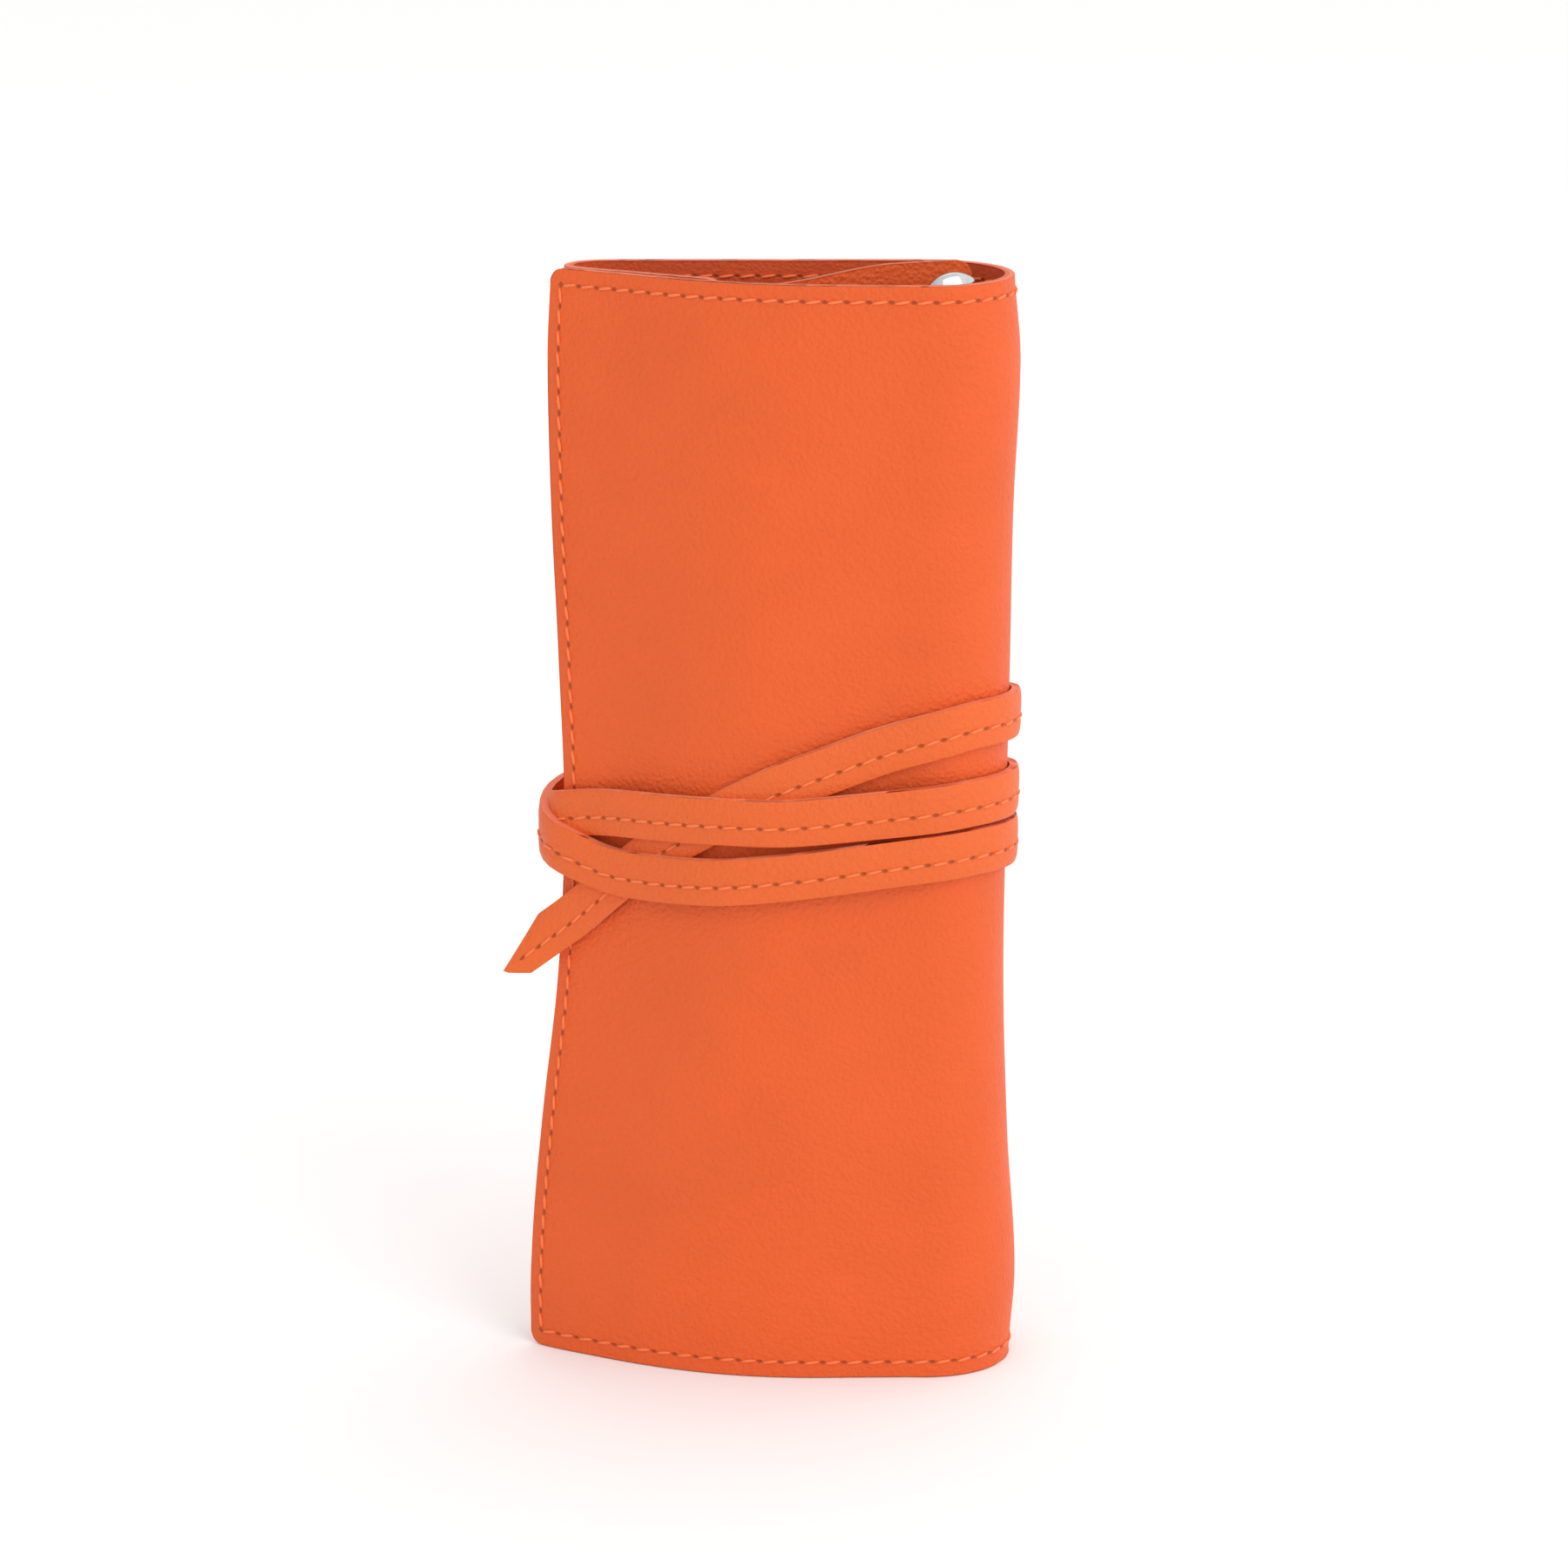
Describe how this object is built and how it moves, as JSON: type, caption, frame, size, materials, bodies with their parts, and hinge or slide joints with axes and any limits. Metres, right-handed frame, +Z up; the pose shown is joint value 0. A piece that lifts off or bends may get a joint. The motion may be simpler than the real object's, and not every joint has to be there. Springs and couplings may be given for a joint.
{
  "type": "brush roll",
  "caption": "Rolled brush case of coated fabric with pocket strips, a snap-fastened inner guard and a strap wound round the waist.",
  "frame": {"origin": "on the bottom edge of the back panel's cover, in the middle of its thickness, below the middle of the roll", "axes": "+Z up the roll, +X to the right seen from the flap, +Y away from the flap"},
  "size_m": [0.1179, 0.0444, 0.2418],
  "materials": {
    "cover_leather": "satin pebbled grain",
    "lining": "smooth matt",
    "pocket_leather": "satin pebbled grain",
    "guard_leather": "smooth matt with raw edges",
    "strap_leather": "satin pebbled grain, painted edges",
    "chrome": "polished"
  },
  "bodies": {
    "back_panel": {"back_cover": "cover_leather", "back_lining": "lining", "back_pocket_strip": "pocket_leather", "snap_studs": "chrome", "snap_posts": "chrome", "strap_rivets": "chrome", "wrap_strap": "strap_leather"},
    "right_bend_1": {"right_bend_1_cover": "cover_leather", "right_bend_1_lining": "lining"},
    "right_bend_2": {"right_bend_2_cover": "cover_leather", "right_bend_2_lining": "lining"},
    "flap": {"flap_cover": "cover_leather", "flap_lining": "lining", "flap_pocket_strip": "pocket_leather"},
    "flap_margin": {"flap_margin_cover": "cover_leather", "flap_margin_lining": "lining"},
    "left_bend_1": {"left_bend_1_cover": "cover_leather", "left_bend_1_lining": "lining"},
    "left_bend_2": {"left_bend_2_cover": "cover_leather", "left_bend_2_lining": "lining"},
    "end_margin": {"end_margin_cover": "cover_leather", "end_margin_lining": "lining"},
    "guard_fold": {"guard_hinge_strip": "guard_leather"},
    "guard": {"guard_leaf": "guard_leather", "snap_caps": "chrome", "snap_sockets": "chrome"},
    "strap_end": {"strap_tail": "strap_leather"}
  },
  "joints": [
    {"name": "unroll", "type": "hinge", "parent": "back_panel", "child": "right_bend_1", "pos_m": [0.0406, 0.0006, 0], "axis": [0, 0, 1], "range_deg": [0, 60], "deforming": ["wrap_strap", "strap_tail"]},
    {"name": "right_middle_fold", "type": "hinge", "parent": "right_bend_1", "child": "right_bend_2", "pos_m": [0.05099, -0.0174, 0], "axis": [0, 0, 1], "range_deg": [0, 60]},
    {"name": "right_outer_fold", "type": "hinge", "parent": "right_bend_2", "child": "flap", "pos_m": [0.0406, -0.0354, 0], "axis": [0, 0, 1], "range_deg": [0, 60]},
    {"name": "flap_margin_fold", "type": "hinge", "parent": "flap", "child": "flap_margin", "pos_m": [-0.014, -0.0354, 0], "axis": [0, 0, 1], "range_deg": [0, 28]},
    {"name": "left_inner_fold", "type": "hinge", "parent": "back_panel", "child": "left_bend_1", "pos_m": [-0.043, 0.0006, 0], "axis": [0, 0, -1], "range_deg": [0, 50.67]},
    {"name": "left_middle_fold", "type": "hinge", "parent": "left_bend_1", "child": "left_bend_2", "pos_m": [-0.04848, -0.00609, 0], "axis": [0, 0, -1], "range_deg": [0, 50.67]},
    {"name": "left_outer_fold", "type": "hinge", "parent": "left_bend_2", "child": "end_margin", "pos_m": [-0.04678, -0.01457, 0], "axis": [0, 0, -1], "range_deg": [0, 50.67]},
    {"name": "guard_crease", "type": "hinge", "parent": "end_margin", "child": "guard_fold", "pos_m": [-0.01366, -0.02958, 0], "axis": [0, 0, 1], "range_deg": [0, 127.1]},
    {"name": "guard_lift", "type": "hinge", "parent": "guard_fold", "child": "guard", "pos_m": [-0.01019, -0.02997, 0], "axis": [0, 0, -1], "range_deg": [0, 12]},
    {"name": "strap_tail_flex", "type": "hinge", "parent": "back_panel", "child": "strap_end", "pos_m": [-0.03388, -0.02517, 0], "axis": [0, 0, 1], "range_deg": [0, 8]}
  ],
  "couplings": [
    {"joint": "right_middle_fold", "follows": "unroll", "ratio": 1},
    {"joint": "right_outer_fold", "follows": "unroll", "ratio": 1},
    {"joint": "flap_margin_fold", "follows": "unroll", "ratio": 0.46667},
    {"joint": "left_inner_fold", "follows": "unroll", "ratio": 0.84445},
    {"joint": "left_middle_fold", "follows": "unroll", "ratio": 0.84445},
    {"joint": "left_outer_fold", "follows": "unroll", "ratio": 0.84445},
    {"joint": "guard_crease", "follows": "unroll", "ratio": 2.1184}
  ]
}
